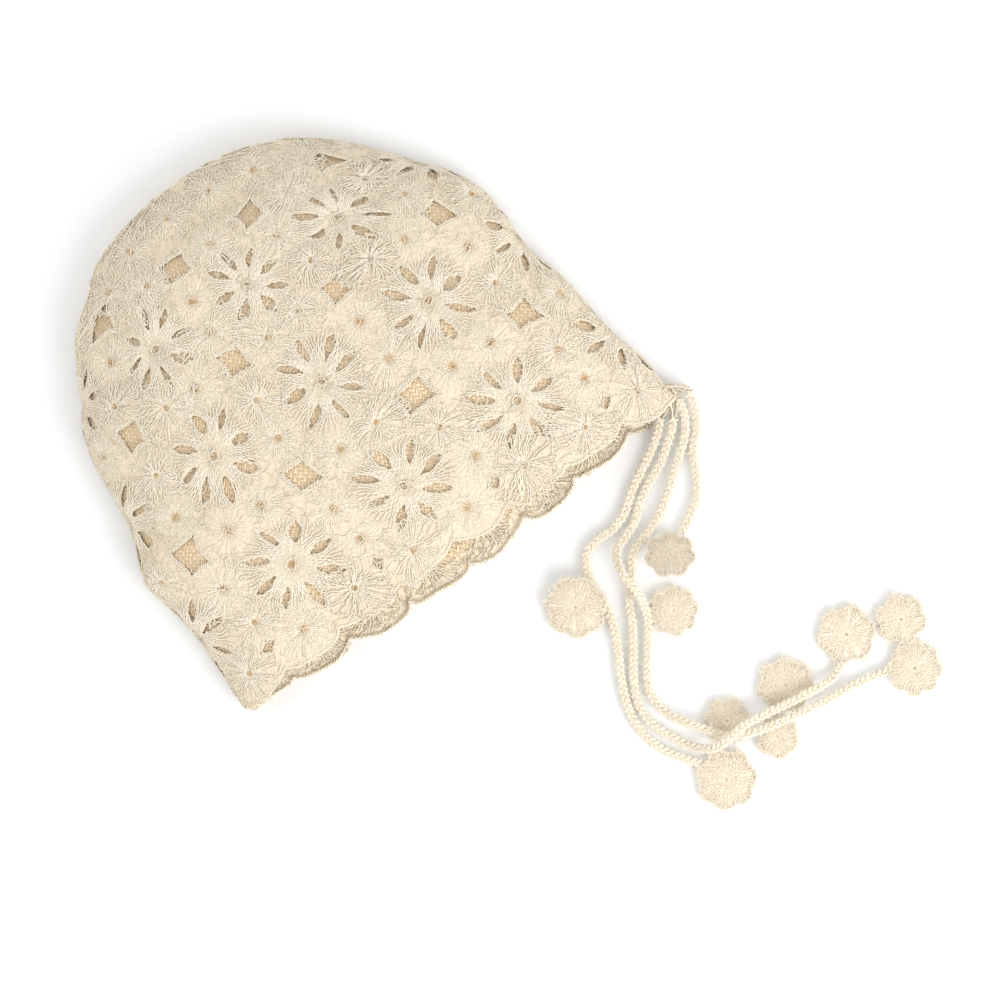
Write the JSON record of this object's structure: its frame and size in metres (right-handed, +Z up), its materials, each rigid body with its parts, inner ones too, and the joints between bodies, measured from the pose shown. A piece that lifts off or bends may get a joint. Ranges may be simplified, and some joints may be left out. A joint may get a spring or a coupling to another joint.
{
  "type": "knitted hat with crocheted lace cover and flowered ties",
  "caption": "Cream knitted hat lying flat, with a crocheted lace cover of eight-petalled stars and round discs, a scalloped hem, and thin crocheted ties that end in small flowers",
  "frame": {"origin": "under the middle of the cap's box, on the surface that it lies on; the ties and flowers are left out of that box", "axes": "+X along the rim towards the corner with the ties, +Y from the rim to the crown, +Z up from the surface"},
  "size_m": [0.3059, 0.4255, 0.0341],
  "materials": {
    "lace_yarn": "soft mohair crochet, cream",
    "lining_yarn": "plain knit, light tan",
    "tie_yarn": "crocheted cord, cream",
    "flower_yarn": "soft crochet, pale rose cream"
  },
  "bodies": {
    "root": {"lace_shell": "lace_yarn", "knit_lining": "lining_yarn", "tie_1": "tie_yarn", "tie_2": "tie_yarn", "tie_3": "tie_yarn", "tie_4": "tie_yarn", "flower_1": "flower_yarn", "flower_2": "flower_yarn", "flower_3": "flower_yarn", "flower_4": "flower_yarn", "flower_5": "flower_yarn", "flower_6": "flower_yarn", "flower_7": "flower_yarn", "flower_8": "flower_yarn", "flower_9": "flower_yarn", "flower_10": "flower_yarn"}
  },
  "joints": []
}
